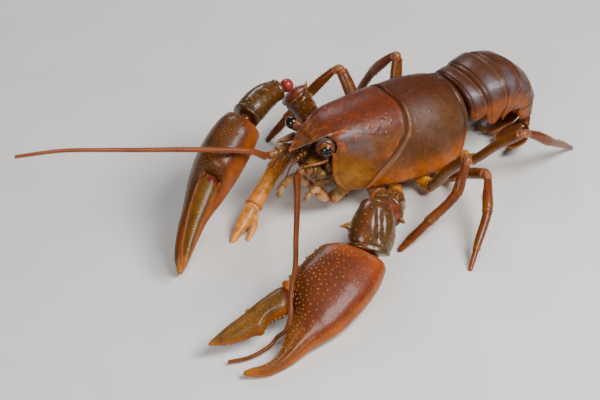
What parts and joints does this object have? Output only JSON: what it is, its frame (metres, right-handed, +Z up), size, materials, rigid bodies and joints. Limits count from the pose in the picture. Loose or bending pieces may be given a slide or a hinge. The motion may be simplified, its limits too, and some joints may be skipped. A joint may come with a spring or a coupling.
{
  "type": "cambaroidid crayfish",
  "caption": "Life-size still model of a crayfish standing with both large claws reaching forward, long feelers out and tail tucked under.",
  "frame": {"origin": "middle of the bounding box's base, on the floor", "axes": "+X from the head toward the tail, +Y toward the animal's right side, +Z up from the floor"},
  "size_m": [0.0818, 0.046, 0.0197],
  "materials": {
    "shell": "wet gloss, mahogany brown with orange tints",
    "tail": "wet gloss, dark brown with pale sheen bands",
    "claw": "wet gloss, burnt orange to olive with pale dots",
    "claw_arm": "wet gloss, olive brown with pale dots",
    "leg": "wet gloss, orange",
    "feeler": "rust orange with fine rings",
    "peduncle": "satin, olive yellow",
    "eye": "high gloss, black",
    "stalk": "satin, orange brown",
    "mouth": "satin, pale pinkish orange",
    "belly": "satin, pale orange brown"
  },
  "bodies": {
    "root": {"antennal_scale_l": "shell", "antennal_scale_r": "shell", "antennule_l": "peduncle", "antennule_r": "peduncle", "carapace_head": "shell", "carapace_thorax": "shell", "claw_arm_l": "claw_arm", "claw_arm_r": "claw_arm", "claw_base_l": "leg", "claw_base_r": "leg", "claw_finger_l": "claw", "claw_finger_r": "claw", "claw_hand_l": "claw", "claw_hand_r": "claw", "claw_wrist_l": "claw_arm", "claw_wrist_r": "claw_arm", "eye_l": "eye", "eye_r": "eye", "eyestalk_l": "stalk", "eyestalk_r": "stalk", "face": "mouth", "fan_inner_l": "tail", "fan_inner_r": "tail", "fan_outer_l": "tail", "fan_outer_r": "tail", "feeler_l_1": "feeler", "feeler_l_2": "feeler", "feeler_r_1": "feeler", "feeler_r_2": "feeler", "jaw_limb_l": "mouth", "jaw_limb_r": "mouth", "jaw_palp_l": "mouth", "jaw_palp_r": "mouth", "leg2_l_lower": "leg", "leg2_l_upper": "leg", "leg2_r_lower": "leg", "leg2_r_upper": "leg", "leg3_l_lower": "leg", "leg3_l_upper": "leg", "leg3_r_lower": "leg", "leg3_r_upper": "leg", "leg4_l_lower": "leg", "leg4_l_upper": "leg", "leg4_r_lower": "leg", "leg4_r_upper": "leg", "leg5_l_lower": "leg", "leg5_l_upper": "leg", "leg5_r_lower": "leg", "leg5_r_upper": "leg", "peduncle_l": "peduncle", "peduncle_r": "peduncle", "sternum": "belly", "tail_1": "tail", "tail_2": "tail", "tail_3": "tail", "tail_4": "tail", "tail_5": "tail", "tail_6": "tail", "telson": "tail"}
  },
  "joints": []
}
